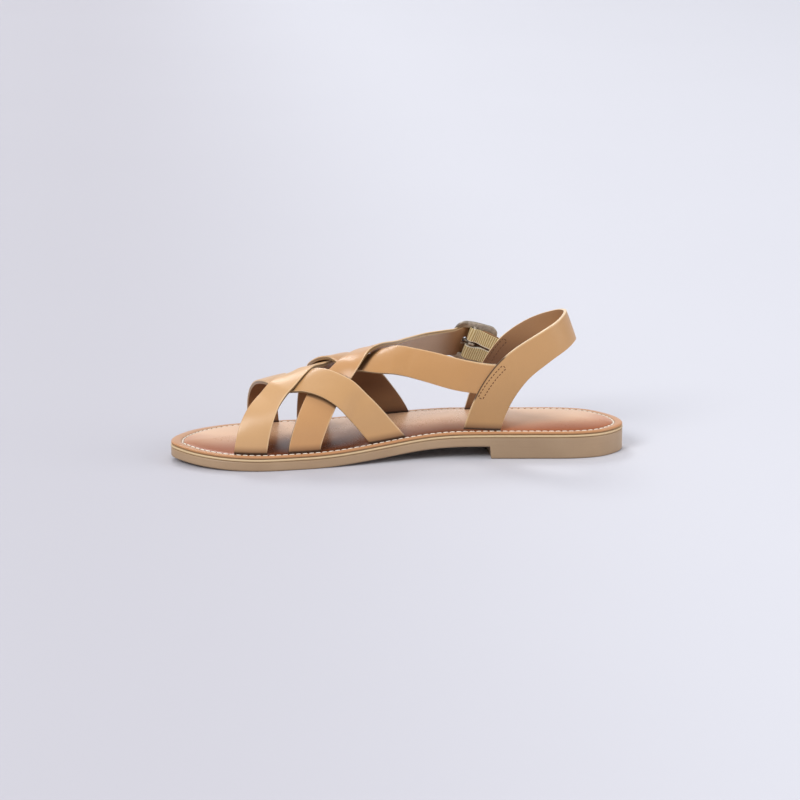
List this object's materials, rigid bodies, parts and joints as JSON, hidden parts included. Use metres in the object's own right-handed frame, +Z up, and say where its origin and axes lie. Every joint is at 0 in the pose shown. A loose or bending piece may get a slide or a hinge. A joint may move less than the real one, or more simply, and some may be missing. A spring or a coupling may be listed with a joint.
{
  "type": "leather sandal",
  "caption": "Flat leather sandal with woven straps over an open forefoot, a slingback heel strap and a side buckle on elastic bands, on a low sole with a heel block.",
  "frame": {"origin": "bottom centre of the bounding box, on the ground under the sole", "axes": "+X from toe to heel, +Y from the inner side of the foot to the outer side, +Z up"},
  "size_m": [0.252, 0.0825, 0.0777],
  "materials": {
    "outsole_rubber": "matt tan-brown moulded rubber",
    "midsole_board": "pale tan cut leather edge",
    "insole_leather": "smooth padded tan leather, stitched round the edge",
    "strap_leather": "smooth tan leather with darker cut edges",
    "elastic_fabric": "ribbed cream elastic band",
    "buckle_metal": "worn antique grey-brown metal"
  },
  "bodies": {
    "root": {"outsole": "outsole_rubber", "midsole": "midsole_board", "insole": "insole_leather", "upper": "strap_leather", "elastic_upper": "elastic_fabric", "elastic_lower": "elastic_fabric", "buckle_frame": "buckle_metal", "buckle_prong": "buckle_metal"}
  },
  "joints": []
}
